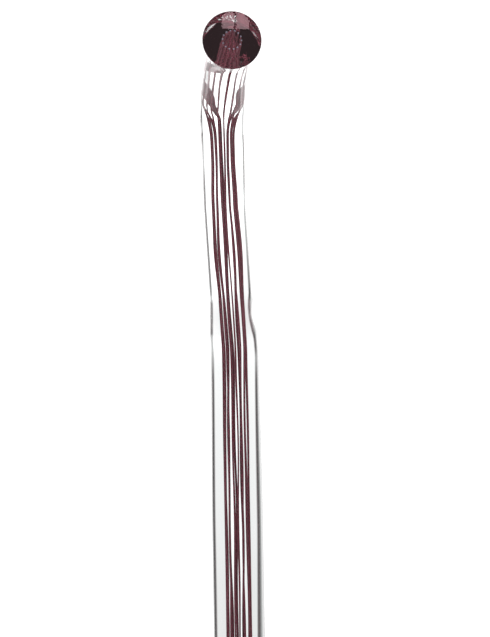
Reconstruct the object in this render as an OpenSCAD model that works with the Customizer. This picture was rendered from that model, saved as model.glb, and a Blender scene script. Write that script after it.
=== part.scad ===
// Glass dip pen: a kinked clear rod with coloured threads cased round a clear core, an elbow that turns
// the polished tail aside, a collar bead and a fluted spiral nib.
// Millimetres, +Z up. The nib points down and the tail's face looks along -Y. The origin is the centre of
// the straight grip, on its axis.

/* [Handle] */
// Diameter of the straight grip
handle_d = 9; // [8:0.1:11]
// Length of the straight grip
grip_len = 40; // [28:1:56]
// Diameter of the front end, where the collar bead sits
front_d = 6.6; // [5.5:0.1:7.8]
// Length of the front shoulder, from the collar bead to the grip
shoulder_len = 15.5; // [9:0.5:22]
// Length of the slow taper above the grip
taper_len = 30; // [20:1:40]
// Diameter at the lower kink
kink_d = 8.5; // [7.9:0.1:10.4]
// Length of the quick taper above the lower kink
waist_len = 8; // [5:0.5:12]
// Diameter of the thinner rod above that taper
tail_d = 7.6; // [6.6:0.1:9.2]
// Length of the thinner rod up to the upper kink
upper_len = 14.5; // [9:0.5:20]
// Length of the thinner rod from the upper kink to the elbow
rise_len = 11.2; // [8:0.1:16]

/* [Kinks] */
// Lean of the lower kink, in degrees toward -X
lower_kink = 3; // [1:0.5:6]
// Lean back at the upper kink, in degrees toward +X
upper_kink = 2; // [1:0.5:6]
// Radius of both kinks, along the centre line
kink_r = 60; // [30:5:90]

/* [Elbow and tail] */
// Diameter of the rod in the elbow
elbow_d = 7.8; // [6.8:0.1:9.4]
// Angle that the tight elbow turns through, in degrees
elbow_angle = 68; // [50:1:80]
// Radius of the elbow, along the centre line
elbow_r = 7; // [6:0.5:12]
// How far the tail is swung from -Y toward +X, in degrees
tail_swing = 4.2; // [-10:0.2:10]
// Length of the straight run that leaves the elbow
tail_len = 5; // [3:0.5:12]
// Further angle that the tail eases through before the flare, in degrees
ease_angle = 14; // [4:1:20]
// Radius of that easing, along the centre line
ease_r = 60; // [40:5:90]
// Length of the flare that ends at the polished face
flare_len = 8; // [5:0.5:14]
// Diameter of the polished face
face_d = 9.7; // [8.8:0.1:12]
// Rounding of the face's rim
rim_round = 0.4; // [0.2:0.05:0.6]

/* [Coloured threads] */
// Number of threads in the ring
thread_count = 14; // [8:1:18]
// Diameter of one thread
thread_d = 0.26; // [0.2:0.02:0.4]
// Diameter of the ring through the threads' centres
ring_d = 2.8; // [2.4:0.1:3.6]
// Turn of the whole ring round the rod, in degrees
ring_turn = -6.4; // [-12:0.2:12]

/* [Collar bead and nib] */
// Diameter of the collar bead
collar_d = 7.4; // [6.4:0.1:9]
// Length of the collar bead
collar_len = 4; // [2.6:0.1:5]
// Length of the nib, from the collar bead to the writing tip
nib_len = 37; // [26:1:48]
// Greatest diameter of the nib, over its flutes
nib_d = 6.4; // [5:0.1:7.6]
// Diameter of the writing tip
tip_d = 0.8; // [0.5:0.1:1.2]
// Number of ink flutes
flute_count = 9; // [6:1:12]
// Turn of the flutes from the root to the tip, in degrees
flute_twist = 300; // [120:10:420]

/* [Hidden] */
$fn = 64;
core_film = 0.05;     // clear glass between the core and each thread
core_d = ring_d - thread_d - 2 * core_film;
bend_trim = 0.03;     // a bend is this much thinner than the runs beside it and reaches this far into them
channel_over = 0.5;   // how far the channels' cutting solids run past the casing

// The centre line from the collar bead to the face. A run is ["run", length, first d, last d]. A bend is
// ["bend", radius, angle, side, d], where side is the way it leans, in degrees from +X round the rod.
PATH = [
    ["run", shoulder_len, front_d, handle_d],
    ["run", grip_len, handle_d, handle_d],
    ["run", taper_len, handle_d, kink_d],
    ["bend", kink_r, lower_kink, 180, kink_d],
    ["run", waist_len, kink_d, tail_d],
    ["run", upper_len, tail_d, tail_d],
    ["bend", kink_r, upper_kink, 0, tail_d],
    ["run", rise_len, tail_d, elbow_d],
    ["bend", elbow_r, elbow_angle, tail_swing - 90, elbow_d],
    ["run", tail_len, elbow_d, tail_d],
    ["bend", ease_r, ease_angle, tail_swing - 90, tail_d],
    ["run", flare_len, tail_d, face_d],
    ["rim", rim_round, face_d]
];
front_z = -grip_len / 2 - shoulder_len;
nib_root_z = front_z - collar_len;

function two_digits(k) = str(k < 10 ? "0" : "", k);
function thread_name(k) = str("thread_", two_digits(k));
THREADS = [for (k = [1:thread_count]) thread_name(k)];

// Calls the children once for each step of a centre line, at the step's start, with the step in $step.
module follow(steps, i = 0) {
    $step = steps[i];
    children();
    if (i + 1 < len(steps)) beyond($step) follow(steps, i + 1) children();
}

// Moves the children from a step's start to its end.
module beyond(step) {
    if (step[0] == "bend") {
        radius = step[1];
        angle = step[2];
        rotate([0, 0, step[3]])
            translate([radius * (1 - cos(angle)), 0, radius * sin(angle)])
                rotate([0, angle, 0]) rotate([0, 0, -step[3]]) children();
    } else {
        translate([0, 0, step[1]]) children();
    }
}

// What comes off a diameter in a bend.
function trim() = $step[0] == "bend" ? bend_trim : 0;

// Sweeps a flat outline, drawn round the rod's centre, along the current step.
module sweep_step() {
    if ($step[0] == "bend") {
        radius = $step[1];
        side = $step[3];
        reach = bend_trim / radius * 180 / PI;
        rotate([0, 0, side]) translate([radius, 0, 0]) rotate([90, 0, 180]) rotate([0, 0, -reach])
            rotate_extrude(angle = $step[2] + 2 * reach)
                translate([radius, 0]) mirror([1, 0]) rotate(-side) children();
    } else {
        linear_extrude(height = $step[1]) children();
    }
}

// The last slice of the tail, with its rim rounded over.
module rim_slice(height, d) {
    rotate_extrude() {
        square([d / 2 - height, height]);
        intersection() {
            translate([d / 2 - height, 0]) circle(r = height);
            square([d / 2, height]);
        }
    }
}

// The whole outside of the handle and tail, as one solid rod.
module rod() {
    translate([0, 0, front_z]) follow(PATH) {
        if ($step[0] == "bend") sweep_step() circle(d = $step[4] - trim());
        else if ($step[0] == "rim") rim_slice($step[1], $step[2]);
        else cylinder(h = $step[1], d1 = $step[2], d2 = $step[3]);
    }
}

// A thin rod that keeps its place in the cross-section all the way. Over is how far it runs past each end.
module strand(x, y, d, over = 0) {
    past_end = ["run", over];
    steps = over > 0 ? concat([past_end], PATH, [past_end]) : PATH;
    translate([0, 0, front_z - over]) follow(steps)
        sweep_step() translate([x, y]) circle(d = d - trim());
}

module core(over = 0) {
    strand(0, 0, core_d, over);
}

module ring_thread(k, over = 0) {
    a = 360 * (k - 1) / thread_count + ring_turn;
    strand(ring_d / 2 * cos(a), ring_d / 2 * sin(a), thread_d, over);
}

// Clear outer glass of the handle and tail, with a close channel for the core and for each thread.
module handle_casing() {
    color([0.86, 0.9, 0.9, 0.4]) difference() {
        rod();
        core(channel_over);
        for (k = [1:thread_count]) ring_thread(k, channel_over);
    }
}

// Clear glass rod inside the ring of threads.
module core_rod() {
    color([0.92, 0.94, 0.94, 0.4]) core();
}

// One coloured thread, from the collar bead to the polished face.
module thread(k) {
    color([0.3, 0.07, 0.1]) ring_thread(k);
}

// Clear bead that joins the nib to the handle.
module collar_bead() {
    bulge = collar_len / 2;
    color([0.86, 0.9, 0.9, 0.5]) translate([0, 0, nib_root_z]) rotate_extrude() {
        square([collar_d / 2 - bulge, collar_len]);
        intersection() {
            translate([collar_d / 2 - bulge, bulge]) circle(r = bulge);
            square([collar_d / 2, collar_len]);
        }
    }
}

// Nib: radius over the flutes at height t, from 0 at the tip to 1 at the root.
root_share = 0.78;   // the root's radius as a share of the greatest one
belly_t = 0.72;      // height of the greatest radius
flute_depth = 0.3;   // depth of a flute as a share of the radius there
function nib_radius(t) = t < belly_t
    ? tip_d / 2 + (nib_d - tip_d) / 2 * pow(sin(90 * t / belly_t), 1.15)
    : nib_d / 2 * (1 - (1 - root_share) * (1 - cos(90 * (t - belly_t) / (1 - belly_t))));
// The flutes fade out into the round root.
function flute_share(t) = t < 0.9 ? 1 : cos(90 * (t - 0.9) / 0.1);

nib_rings = 36;
flute_steps = 5;     // points across one flute
around = flute_count * flute_steps;
function nib_point(t, j) =
    let (wave = 0.5 - 0.5 * cos(360 * j / flute_steps),
         r = nib_radius(t) * (1 - flute_depth * flute_share(t) * wave),
         a = 360 * j / around + flute_twist * t)
    [r * cos(a), r * sin(a), nib_len * t];

// Fluted spiral nib, from its writing tip up to the collar bead.
module nib() {
    points = [for (i = [0:nib_rings], j = [0:around - 1]) nib_point(i / nib_rings, j)];
    sides = [for (i = [0:nib_rings - 1], j = [0:around - 1])
        let (a = i * around + j, b = i * around + (j + 1) % around)
        each [[a, b + around, b], [a, a + around, b + around]]];
    tip = [[for (j = [0:around - 1]) j]];
    root = [[for (j = [around - 1:-1:0]) nib_rings * around + j]];
    color([0.86, 0.9, 0.9, 0.6]) translate([0, 0, nib_root_z - nib_len])
        polyhedron(points, concat(tip, sides, root), convexity = 8);
}

handle_casing();
core_rod();
collar_bead();
nib();
for (k = [1:thread_count]) thread(k);
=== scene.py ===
import math
import random

import bmesh
import bpy
from mathutils import Matrix, Vector


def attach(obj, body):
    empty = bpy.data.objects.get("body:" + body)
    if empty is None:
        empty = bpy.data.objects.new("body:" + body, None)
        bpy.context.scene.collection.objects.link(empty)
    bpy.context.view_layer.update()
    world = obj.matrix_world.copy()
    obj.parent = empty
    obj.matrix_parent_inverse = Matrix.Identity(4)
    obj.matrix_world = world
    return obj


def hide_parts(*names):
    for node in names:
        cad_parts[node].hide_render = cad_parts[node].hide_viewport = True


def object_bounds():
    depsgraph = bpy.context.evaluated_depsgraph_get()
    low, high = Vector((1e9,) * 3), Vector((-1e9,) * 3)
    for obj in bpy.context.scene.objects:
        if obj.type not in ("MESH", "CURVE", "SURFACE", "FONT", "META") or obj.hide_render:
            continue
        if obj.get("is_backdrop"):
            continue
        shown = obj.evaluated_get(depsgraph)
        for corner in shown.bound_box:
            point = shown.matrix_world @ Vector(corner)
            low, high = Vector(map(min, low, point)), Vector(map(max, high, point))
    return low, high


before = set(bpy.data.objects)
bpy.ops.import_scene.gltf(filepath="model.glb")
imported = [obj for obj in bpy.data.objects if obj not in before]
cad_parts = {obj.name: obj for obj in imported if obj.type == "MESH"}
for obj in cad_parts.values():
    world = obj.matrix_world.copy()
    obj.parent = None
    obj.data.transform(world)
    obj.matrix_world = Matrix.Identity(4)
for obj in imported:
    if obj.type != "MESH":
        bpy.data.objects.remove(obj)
cad_low, cad_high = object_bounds()


# Glass handle and tail. One solid rod of clear lampworked glass, drawn by hand: it kinks twice, narrows,
# turns through an elbow and swells to a face that was pressed flat and fire-polished. The clear core inside
# the ring of threads is fused to it, so this one piece stands for both.

MM = 0.001
# A curve is the radius of the centre line in a bend. Bends and the side that the tail leans to are in degrees.
GRIP_LENGTH = 40 * MM
GRIP_RADIUS = 4.5 * MM
FRONT_RADIUS = 3.3 * MM
SHOULDER_LENGTH = 15.5 * MM
TAPER_LENGTH = 30 * MM
KINK_RADIUS = 4.25 * MM
KINK_CURVE = 60 * MM
LOWER_KINK = 3
WAIST_LENGTH = 8 * MM
TAIL_RADIUS = 3.8 * MM
UPPER_LENGTH = 14.5 * MM
UPPER_KINK = 2
RISE_LENGTH = 11.2 * MM
ELBOW_RADIUS = 3.9 * MM
ELBOW_CURVE = 7 * MM
ELBOW_ANGLE = 68
TAIL_SIDE = 4.2 - 90
TAIL_LENGTH = 5 * MM
EASE_CURVE = 60 * MM
EASE_ANGLE = 14
FLARE_LENGTH = 8 * MM
FACE_RADIUS = 4.85 * MM
FACE_RIM = 0.15 * MM
FACE_DOME = 0.25 * MM
RIM_TURN = math.radians(84)
RIM_STEPS = 5
DOME_STEPS = 14


def ease(t):
    return t * t * (3 - 2 * t)


class Rod:
    """The rod's centre line as stations: the place and turn of each cross-section, and its radius."""

    def __init__(self, start, radius):
        self.end = start
        self.stations = [(start, radius)]

    def run(self, length, first, last, count, shape=ease):
        for i in range(1, count + 1):
            place = self.end @ Matrix.Translation((0, 0, length * i / count))
            self.stations.append((place, first + (last - first) * shape(i / count)))
        self.end = self.stations[-1][0]

    def bend(self, radius, degrees, side, thickness, count):
        """Radius is the centre line's. Side is the way it leans, in degrees from +X round the rod."""
        lean = Matrix.Rotation(math.radians(side), 4, "Z")
        start = self.end
        for i in range(1, count + 1):
            a = math.radians(degrees) * i / count
            centre = Matrix.Translation((radius * (1 - math.cos(a)), 0, radius * math.sin(a)))
            turn = Matrix.Rotation(a, 4, "Y")
            self.stations.append((start @ lean @ centre @ turn @ lean.inverted(), thickness))
        self.end = self.stations[-1][0]

    def lengths(self):
        """How far along the rod each station is."""
        total, out = 0, [0]
        for (a, _), (b, _) in zip(self.stations, self.stations[1:]):
            total += (b.translation - a.translation).length
            out.append(total)
        return out


front_z = -GRIP_LENGTH / 2 - SHOULDER_LENGTH
rod = Rod(Matrix.Translation((0, 0, front_z)), FRONT_RADIUS)
rod.run(SHOULDER_LENGTH, FRONT_RADIUS, GRIP_RADIUS, 16)
rod.run(GRIP_LENGTH, GRIP_RADIUS, GRIP_RADIUS, 20)
rod.run(TAPER_LENGTH, GRIP_RADIUS, KINK_RADIUS, 30)
rod.bend(KINK_CURVE, LOWER_KINK, 180, KINK_RADIUS, 6)
rod.run(WAIST_LENGTH, KINK_RADIUS, TAIL_RADIUS, 14)
rod.run(UPPER_LENGTH, TAIL_RADIUS, TAIL_RADIUS, 10)
rod.bend(KINK_CURVE, UPPER_KINK, 0, TAIL_RADIUS, 5)
rod.run(RISE_LENGTH, TAIL_RADIUS, ELBOW_RADIUS, 10)
rod.bend(ELBOW_CURVE, ELBOW_ANGLE, TAIL_SIDE, ELBOW_RADIUS, 56)
rod.run(TAIL_LENGTH, ELBOW_RADIUS, TAIL_RADIUS, 8)
rod.bend(EASE_CURVE, EASE_ANGLE, TAIL_SIDE, TAIL_RADIUS, 18)
rod.run(FLARE_LENGTH, TAIL_RADIUS, FACE_RADIUS, 20, lambda t: t * t)


def drawn_out(outlines, sides, fluted=None):
    """A closed solid, as a circle extruded from one outline to the next. An outline is a place and its scale,
    and how far along the piece it is. Each point keeps its place round and along the piece for the glass's
    striae. Fluted gives the share of the radius at an angle and an outline."""
    bm = bmesh.new()
    striae = bm.verts.layers.float_vector.new("striae")
    verts = bmesh.ops.create_circle(bm, cap_ends=True, radius=1, segments=sides)["verts"]
    bearing = {v: v.co.copy() for v in verts}
    now = Matrix()
    for i, (place, along) in enumerate(outlines):
        if i:
            edges = {e for v in verts for e in v.link_edges if e.other_vert(v) in bearing}
            old = dict(bearing)
            out = bmesh.ops.extrude_edge_only(bm, edges=list(edges))
            verts = [g for g in out["geom"] if isinstance(g, bmesh.types.BMVert)]
            bearing = {}
            for v in verts:
                before = next(e.other_vert(v) for e in v.link_edges if e.other_vert(v) in old)
                bearing[v] = old[before]
        bmesh.ops.transform(bm, matrix=place @ now.inverted(), verts=verts)
        for v in verts:
            around = bearing[v]
            if fluted:
                v.co = place @ (around * fluted(math.atan2(around.y, around.x), i))
            v[striae] = (around.x, around.y, along)
        now = place
    ends = {e for v in verts for e in v.link_edges if e.other_vert(v) in bearing}
    bmesh.ops.contextual_create(bm, geom=list(ends))
    bmesh.ops.recalc_face_normals(bm, faces=bm.faces)
    return bm


def shown(name, bm, material, replaces):
    """Turns a finished mesh into a piece of the pen."""
    mesh = bpy.data.meshes.new(name)
    bm.to_mesh(mesh)
    bm.free()
    mesh.polygons.foreach_set("use_smooth", [True] * len(mesh.polygons))
    mesh.materials.append(material)
    piece = bpy.data.objects.new(name, mesh)
    bpy.context.scene.collection.objects.link(piece)
    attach(piece, "root")
    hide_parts(*replaces)
    return piece


along = rod.lengths()
outlines = [(place @ Matrix.Scale(r, 4), s) for (place, r), s in zip(rod.stations, along)]
face = rod.end
for i in range(1, RIM_STEPS + 1):
    a = RIM_TURN * i / RIM_STEPS
    r = FACE_RADIUS - FACE_RIM * (1 - math.cos(a))
    rise = FACE_RIM * math.sin(a)
    outlines.append((face @ Matrix.Translation((0, 0, rise)) @ Matrix.Scale(r, 4), along[-1]))
flat = FACE_RADIUS - FACE_RIM
for i in range(1, DOME_STEPS + 1):
    share = 1 - i / (DOME_STEPS + 0.2)
    rise = FACE_RIM + FACE_DOME * (1 - share * share)
    outlines.append((face @ Matrix.Translation((0, 0, rise)) @ Matrix.Scale(flat * share, 4), along[-1]))

# Striae are the faint lengthwise ripples and the slow swells that drawing leaves in glass.
group = bpy.data.node_groups.new("drawn glass striae", "ShaderNodeTree")
sockets = group.interface
sockets.new_socket("Place", in_out="INPUT", socket_type="NodeSocketVector")
for name in ("Ripples around", "Ripples along", "Swells along"):
    sockets.new_socket(name, in_out="INPUT", socket_type="NodeSocketFloat")
for name in ("Height", "Mask"):
    sockets.new_socket(name, in_out="OUTPUT", socket_type="NodeSocketFloat")


def add(tree, kind, **settings):
    node = tree.nodes.new(kind)
    for key, value in settings.items():
        setattr(node, key, value)
    return node


def stretched(tree, place, around, along_rod, detail):
    """Noise drawn out along the glass, with so many ripples round it and along it."""
    join = add(tree, "ShaderNodeCombineXYZ")
    for axis, socket in zip("XYZ", (around, around, along_rod)):
        tree.links.new(socket, join.inputs[axis])
    times = add(tree, "ShaderNodeVectorMath", operation="MULTIPLY")
    tree.links.new(place, times.inputs[0])
    tree.links.new(join.outputs[0], times.inputs[1])
    noise = add(tree, "ShaderNodeTexNoise")
    noise.inputs["Scale"].default_value = 1
    noise.inputs["Detail"].default_value = detail
    tree.links.new(times.outputs[0], noise.inputs["Vector"])
    return noise.outputs["Fac"]


taken = add(group, "NodeGroupInput")
given = add(group, "NodeGroupOutput")
where, many_around = taken.outputs["Place"], taken.outputs["Ripples around"]
ripples = stretched(group, where, many_around, taken.outputs["Ripples along"], 2)
slow = add(group, "ShaderNodeMath", operation="MULTIPLY")
slow.inputs[1].default_value = 0.35
group.links.new(many_around, slow.inputs[0])
swells = stretched(group, where, slow.outputs[0], taken.outputs["Swells along"], 1)
both = add(group, "ShaderNodeMath", operation="ADD")
group.links.new(ripples, both.inputs[0])
group.links.new(swells, both.inputs[1])
group.links.new(both.outputs[0], given.inputs["Height"])
spots = add(group, "ShaderNodeMapRange")
spots.inputs["From Min"].default_value = 0.45
spots.inputs["From Max"].default_value = 0.75
group.links.new(ripples, spots.inputs["Value"])
group.links.new(spots.outputs["Result"], given.inputs["Mask"])


def striated(name, around, ripples_along, swells_along, height):
    """A material whose surface has the striae, its Principled shader, and the striae node."""
    material = bpy.data.materials.new(name)
    material.use_nodes = True
    tree = material.node_tree
    shader = tree.nodes["Principled BSDF"]
    striae = add(tree, "ShaderNodeGroup", node_tree=group)
    striae.inputs["Ripples around"].default_value = around
    striae.inputs["Ripples along"].default_value = ripples_along
    striae.inputs["Swells along"].default_value = swells_along
    source = add(tree, "ShaderNodeAttribute", attribute_name="striae")
    tree.links.new(source.outputs["Vector"], striae.inputs["Place"])
    bump = add(tree, "ShaderNodeBump")
    bump.inputs["Strength"].default_value = 1
    bump.inputs["Distance"].default_value = height
    tree.links.new(striae.outputs["Height"], bump.inputs["Height"])
    tree.links.new(bump.outputs["Normal"], shader.inputs["Normal"])
    return material, shader, striae


def clear(name, around, ripples_along, swells_along, height):
    """Clear glass: nearly colourless, fire-polished, with a trace of haze in the striae."""
    material, shader, striae = striated(name, around, ripples_along, swells_along, height)
    tree = material.node_tree
    shader.inputs["Transmission Weight"].default_value = 1
    shader.inputs["IOR"].default_value = 1.5
    haze = add(tree, "ShaderNodeMapRange")
    haze.inputs["To Min"].default_value = 0.0
    haze.inputs["To Max"].default_value = 0.012
    tree.links.new(striae.outputs["Mask"], haze.inputs["Value"])
    tree.links.new(haze.outputs["Result"], shader.inputs["Roughness"])
    tint = add(tree, "ShaderNodeMix", data_type="RGBA")
    tint.inputs["A"].default_value = (0.985, 0.99, 0.988, 1)
    tint.inputs["B"].default_value = (0.955, 0.962, 0.962, 1)
    tree.links.new(striae.outputs["Mask"], tint.inputs["Factor"])
    tree.links.new(tint.outputs["Result"], shader.inputs["Base Color"])
    return material


handle_glass = clear("clear drawn glass", 3.2, 26, 110, 0.003 * MM)
# A warm specular tint gives all that the handle glass mirrors a maroon cast: a painted reflection of the
# threads, meant for the polished face.
tinted_reflection_shader = handle_glass.node_tree.nodes["Principled BSDF"]
tinted_reflection_shader.inputs["Specular Tint"].default_value = (1, 0.64, 0.7, 1)
shown("glass_handle", drawn_out(outlines, 96), handle_glass, ["handle_casing", "core_rod"])


# Coloured threads. Fourteen thin canes of dark maroon glass were laid round the core before it was cased, so
# they follow the rod to the polished face. They wander a little and spread in the elbow. Their ends are
# painted pale, a painted highlight.

THREADS = 14
RING_TURN = math.radians(-6.4)
THREAD_RADIUS = 0.125 * MM
END_RADIUS = 0.135 * MM
# How far along the rod, and the radius of the ring of threads there, in millimetres.
RING_AT = [
    (0, 1.4), (69, 1.4), (82, 1.35), (95, 1.42), (104, 1.58), (113, 1.4),
    (120, 1.27), (123, 1.3), (129, 1.6), (136, 1.64), (150, 1.52), (161, 1.54),
]
TAIL_FROM = 132 * MM
TAIL_TWIST = math.radians(5)
SLOW_WANDER = math.radians(2.5)
QUICK_WANDER = math.radians(2)
# How far past the rod's end each outline of a thread's rounded tip is, in millimetres, and its radius.
TIP = [(0.12, THREAD_RADIUS), (0.17, END_RADIUS), (0.21, END_RADIUS), (0.25, 0.8 * END_RADIUS)]


def ring_at(s):
    for (a, ra), (b, rb) in zip(RING_AT, RING_AT[1:]):
        if s <= b * MM:
            return (ra + (rb - ra) * ease((s / MM - a) / (b - a))) * MM
    return RING_AT[-1][1] * MM


dice = random.Random(14)
maroon, shader, striae = striated("maroon thread glass", 2, 60, 160, 0.004 * MM)
tree = maroon.node_tree
shader.inputs["Specular IOR Level"].default_value = 0.12
rough = add(tree, "ShaderNodeMapRange")
rough.inputs["To Min"].default_value = 0.25
rough.inputs["To Max"].default_value = 0.45
tree.links.new(striae.outputs["Mask"], rough.inputs["Value"])
tree.links.new(rough.outputs["Result"], shader.inputs["Roughness"])
cane = add(tree, "ShaderNodeMix", data_type="RGBA")
cane.inputs["A"].default_value = (0.17, 0.035, 0.053, 1)
cane.inputs["B"].default_value = (0.36, 0.085, 0.125, 1)
tree.links.new(striae.outputs["Mask"], cane.inputs["Factor"])
split = add(tree, "ShaderNodeSeparateXYZ")
tree.links.new(tree.nodes["Attribute"].outputs["Vector"], split.inputs[0])
# The cane turns pale bluish at its rounded tip, just under the polished face: a painted highlight for the
# glint of the air caught at each thread's end.
tip_glint_span = add(tree, "ShaderNodeMapRange")
tip_glint_span.inputs["From Min"].default_value = along[-1] + 0.16 * MM
tip_glint_span.inputs["From Max"].default_value = along[-1] + 0.2 * MM
tree.links.new(split.outputs["Z"], tip_glint_span.inputs["Value"])
# Painted highlight: the pale bluish colour mixed in at the tip.
painted_tip_glint = add(tree, "ShaderNodeMix", data_type="RGBA")
painted_tip_glint.inputs["B"].default_value = (0.55, 0.52, 0.66, 1)
tree.links.new(tip_glint_span.outputs["Result"], painted_tip_glint.inputs["Factor"])
tree.links.new(cane.outputs["Result"], painted_tip_glint.inputs["A"])
tree.links.new(painted_tip_glint.outputs["Result"], shader.inputs["Base Color"])

# The first thread is the last one laid.
for k in [*range(1, THREADS), 0]:
    bearing_k = 2 * math.pi * k / THREADS + RING_TURN
    phase, second, lean = (dice.uniform(0, 2 * math.pi) for _ in range(3))
    canes = []
    for (place, _), s in zip(rod.stations, along):
        wander = SLOW_WANDER * math.sin(s / (9 * MM) + phase) + QUICK_WANDER * math.sin(s / (4 * MM) + second)
        tail = min(max((s - TAIL_FROM) / (along[-1] - TAIL_FROM), 0), 1)
        a = bearing_k + wander * (1 - tail) + TAIL_TWIST * tail
        r = ring_at(s) * (1 + 0.02 * math.sin(s / (7 * MM) + lean) * (1 - tail))
        thick = THREAD_RADIUS * (1 + 0.12 * math.sin(s / (5 * MM) + lean))
        aside = Matrix.Translation((r * math.cos(a), r * math.sin(a), 0))
        canes.append((place @ aside @ Matrix.Scale(thick, 4), s))
    for past, thick in TIP:
        cut = face @ aside @ Matrix.Translation((0, 0, past * MM))
        canes.append((cut @ Matrix.Scale(thick, 4), along[-1] + past * MM))
    number = f"{k + 1:02d}"
    shown("maroon_thread_" + number, drawn_out(canes, 12), maroon, ["thread_" + number])


# Collar bead. A round bead of clear glass gathered where the nib was fused to the handle's front end.

COLLAR_LENGTH = 4 * MM
COLLAR_RADIUS = 3.7 * MM
COLLAR_NIB_END = 2.5 * MM
COLLAR_HANDLE_END = 3.2 * MM
BEAD_STEPS = 24
nib_root_z = front_z - COLLAR_LENGTH
bead = []
for i in range(BEAD_STEPS + 1):
    t = i / BEAD_STEPS
    bulge = math.sin(math.pi * t) ** 0.6 if 0 < t < 1 else 0
    end = COLLAR_NIB_END + (COLLAR_HANDLE_END - COLLAR_NIB_END) * t
    r = end + (COLLAR_RADIUS - end) * bulge
    up = Matrix.Translation((0, 0, nib_root_z + COLLAR_LENGTH * t))
    bead.append((up @ Matrix.Scale(r, 4), COLLAR_LENGTH * t))
bead_glass = clear("clear bead glass", 2, 200, 500, 0.002 * MM)
shown("collar_bead_glass", drawn_out(bead, 96), bead_glass, ["collar_bead"])


# Nib. A cane of clear glass with nine deep flutes, twisted while it was soft and drawn to a fine rounded
# point, so that the flutes carry ink down to the tip in a spiral.

NIB_LENGTH = 37 * MM
NIB_RADIUS = 3.2 * MM
TIP_RADIUS = 0.4 * MM
FLUTES = 9
NIB_TWIST = math.radians(300)
FLUTE_DEPTH = 0.3
ROOT_SHARE = 0.78
NIB_STEPS = 130
# Heights as shares of the nib's length: where the round tip ends, where the flutes are at their full depth,
# the greatest radius, and where the flutes start to fade into the root.
TIP_SHARE = 0.012
FADE_TO = 0.04
BELLY = 0.72
FADE_FROM = 0.9


def nib_radius(t):
    """Radius over the flutes, from 0 at the tip to 1 at the root."""
    if t < BELLY:
        return TIP_RADIUS + (NIB_RADIUS - TIP_RADIUS) * math.sin(math.pi / 2 * t / BELLY) ** 1.15
    return NIB_RADIUS * (1 - (1 - ROOT_SHARE) * (1 - math.cos(math.pi / 2 * (t - BELLY) / (1 - BELLY))))


# The first outlines lie close together and round the tip over, and the rest are evenly spaced.
heights = [TIP_RADIUS / NIB_LENGTH * (1 - math.cos(math.radians(a))) * 0.9 for a in range(12, 90, 13)]
heights += [TIP_SHARE + (1 - TIP_SHARE) * i / NIB_STEPS for i in range(NIB_STEPS + 1)]
nib = []
for t in heights:
    r = nib_radius(t)
    if t * NIB_LENGTH < TIP_RADIUS:
        r *= math.sqrt(max(1 - (1 - t * NIB_LENGTH / TIP_RADIUS) ** 2, 0.03))
    turn = Matrix.Rotation(NIB_TWIST * t, 4, "Z")
    up = Matrix.Translation((0, 0, nib_root_z - NIB_LENGTH * (1 - t)))
    nib.append((up @ turn @ Matrix.Scale(r, 4), NIB_LENGTH * t))


def flutes(a, i):
    """Round ridges with sharp valleys between them, fading out at the root and at the tip."""
    t = heights[i]
    at_tip = min(1, t / FADE_TO)
    at_root = 1 if t < FADE_FROM else math.cos(math.pi / 2 * (t - FADE_FROM) / (1 - FADE_FROM))
    return 1 - FLUTE_DEPTH * at_tip * at_root * (1 - abs(math.cos(FLUTES * a / 2)))


nib_glass = clear("clear fluted glass", 2, 120, 300, 0.001 * MM)
shown("fluted_nib", drawn_out(nib, FLUTES * 12, flutes), nib_glass, ["nib"])


# Studio. A pale floor under the nib, a bright white surround behind the pen that darkens overhead and high in
# front, with a dim band low down and a dark flag at each side, and two white soft boxes high in front.

FLOOR_RADIUS = 0.6
BOX_HEIGHT = 160 * MM
BOX_PLACE = (-420 * MM, 395 * MM)
BOX_AIM = (0, 390 * MM, -300 * MM)
# Each soft box's place from left to right, its width, and its power in watts.
SOFT_BOXES = {"soft box left": (50 * MM, 46 * MM, 0.115), "soft box right": (107 * MM, 52 * MM, 0.13)}
DISTANCE = 450 * MM
VIEW_HEIGHT = 111.5 * MM
EYE_X = 1.89 * MM
EYE_Z = 56.8 * MM
ROLL = math.radians(0.95)

floor_mesh = bpy.data.meshes.new("floor")
bm = bmesh.new()
under = Matrix.Translation((0, 0, cad_low.z))
bmesh.ops.create_circle(bm, cap_ends=True, radius=FLOOR_RADIUS, segments=128, matrix=under)
bm.to_mesh(floor_mesh)
bm.free()
floor = bpy.data.objects.new("floor", floor_mesh)
bpy.context.scene.collection.objects.link(floor)
pale_floor = bpy.data.materials.new("pale floor")
pale_floor.use_nodes = True
shader = pale_floor.node_tree.nodes["Principled BSDF"]
shader.inputs["Base Color"].default_value = (0.88, 0.88, 0.89, 1)
shader.inputs["Roughness"].default_value = 0.8
shader.inputs["Emission Color"].default_value = (1, 1, 1, 1)
shader.inputs["Emission Strength"].default_value = 0.3
floor_mesh.materials.append(pale_floor)
floor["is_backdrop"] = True

world = bpy.data.worlds.new("studio")
world.use_nodes = True
bpy.context.scene.world = world
bpy.context.scene.view_settings.view_transform = "Standard"
tree = world.node_tree
background = tree.nodes["Background"]
background.inputs["Color"].default_value = (1, 1, 1, 1)
split = add(tree, "ShaderNodeSeparateXYZ")
tree.links.new(add(tree, "ShaderNodeTexCoord").outputs["Generated"], split.inputs[0])


def maths(operation, *values):
    node = add(tree, "ShaderNodeMath", operation=operation)
    for socket, value in zip(node.inputs, values):
        if isinstance(value, (int, float)):
            socket.default_value = value
        else:
            tree.links.new(value, socket)
    return node.outputs[0]


def between(value, low, high, first, last):
    """Goes smoothly from first to last as the value goes from low to high."""
    node = add(tree, "ShaderNodeMapRange", interpolation_type="SMOOTHSTEP")
    for name, setting in (("From Min", low), ("From Max", high), ("To Min", first), ("To Max", last)):
        node.inputs[name].default_value = setting
    tree.links.new(value, node.inputs["Value"])
    return node.outputs["Result"]


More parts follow.
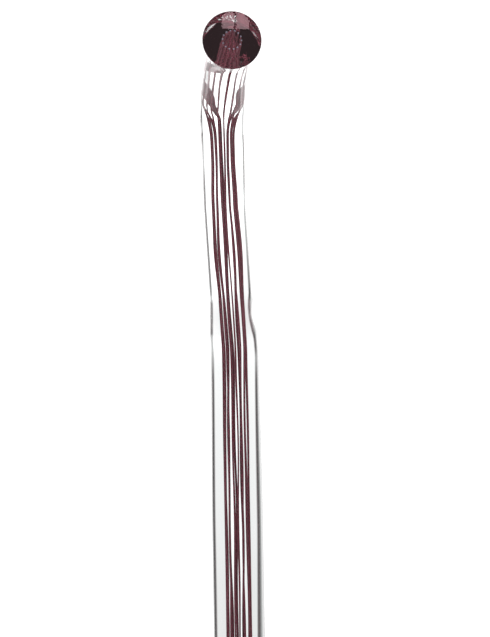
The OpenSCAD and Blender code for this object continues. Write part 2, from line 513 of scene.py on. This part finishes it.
# Bearing is the angle from straight behind the pen, in radians, positive to the right. Height is the sine of
# the angle above the horizon.
bearing = maths("ARCTAN2", split.outputs["X"], split.outputs["Y"])
height = split.outputs["Z"]
turned = maths("ABSOLUTE", bearing)
behind = maths("MULTIPLY", between(height, 0.08, 0.2, 1.6, 2.3), between(height, 0.48, 0.65, 1, 0.1))
in_front = between(height, 0.5, 0.62, 0.65, 0.06)
facing = between(turned, 1.45, 1.95, 0, 1)
back_half = maths("MULTIPLY", maths("SUBTRACT", 1, facing), behind)
room = maths("ADD", back_half, maths("MULTIPLY", facing, in_front))
low = maths("MULTIPLY", between(height, -0.18, -0.13, 0, 1), between(height, -0.025, 0.02, 1, 0))
dimming = maths("ADD", between(turned, 0.08, 0.3, 0.2, 0.36), between(height, -0.13, -0.02, 0.11, 0))
dimmed = maths("SUBTRACT", 1, maths("MULTIPLY", low, dimming))
flag_height = maths("MULTIPLY", between(height, -0.18, -0.13, 0, 1), between(height, 0.08, 0.12, 1, 0))
flag_depth = maths("ADD", between(height, -0.035, -0.01, 0.94, 0.6), between(height, 0.035, 0.055, 0, 0.3))
flag_depth = maths("MULTIPLY", flag_height, flag_depth)
left = maths("ADD", maths("MULTIPLY", bearing, -1), maths("MULTIPLY", maths("MAXIMUM", height, -0.13), -1.8))
left_flag = maths("MULTIPLY", between(left, 0.76, 0.87, 0, 1), between(left, 0.9, 1.28, 1, 0))
right_flag = maths("MULTIPLY", between(bearing, 0.76, 0.92, 0, 1), between(bearing, 1.05, 1.35, 1, 0))
flags = maths("MULTIPLY", maths("ADD", left_flag, right_flag), flag_depth)
light = maths("MULTIPLY", maths("MULTIPLY", room, dimmed), maths("SUBTRACT", 1, flags))
seen = add(tree, "ShaderNodeLightPath").outputs["Is Camera Ray"]
mixed = add(tree, "ShaderNodeMix", data_type="FLOAT")
tree.links.new(seen, mixed.inputs["Factor"])
tree.links.new(light, mixed.inputs["A"])
mixed.inputs["B"].default_value = 1.3
tree.links.new(mixed.outputs["Result"], background.inputs["Strength"])

aim = Vector(BOX_AIM).to_track_quat("-Z", "Y").to_matrix().to_4x4()
for name, (x, width, power) in SOFT_BOXES.items():
    lamp = bpy.data.lights.new(name, "AREA")
    lamp.shape = "RECTANGLE"
    lamp.size, lamp.size_y = width, BOX_HEIGHT
    lamp.energy = power
    box = bpy.data.objects.new(name, lamp)
    bpy.context.scene.collection.objects.link(box)
    box.matrix_world = Matrix.Translation((x, *BOX_PLACE)) @ aim

camera = bpy.data.cameras.new("camera")
eye = bpy.data.objects.new("camera", camera)
bpy.context.scene.collection.objects.link(eye)
bpy.context.scene.camera = eye
camera.lens = camera.sensor_width * DISTANCE / VIEW_HEIGHT
eye.matrix_world = (
    Matrix.Translation((EYE_X, -DISTANCE, EYE_Z))
    @ Matrix.Rotation(math.pi / 2, 4, "X")
    @ Matrix.Rotation(-ROLL, 4, "Z")
)

low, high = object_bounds()
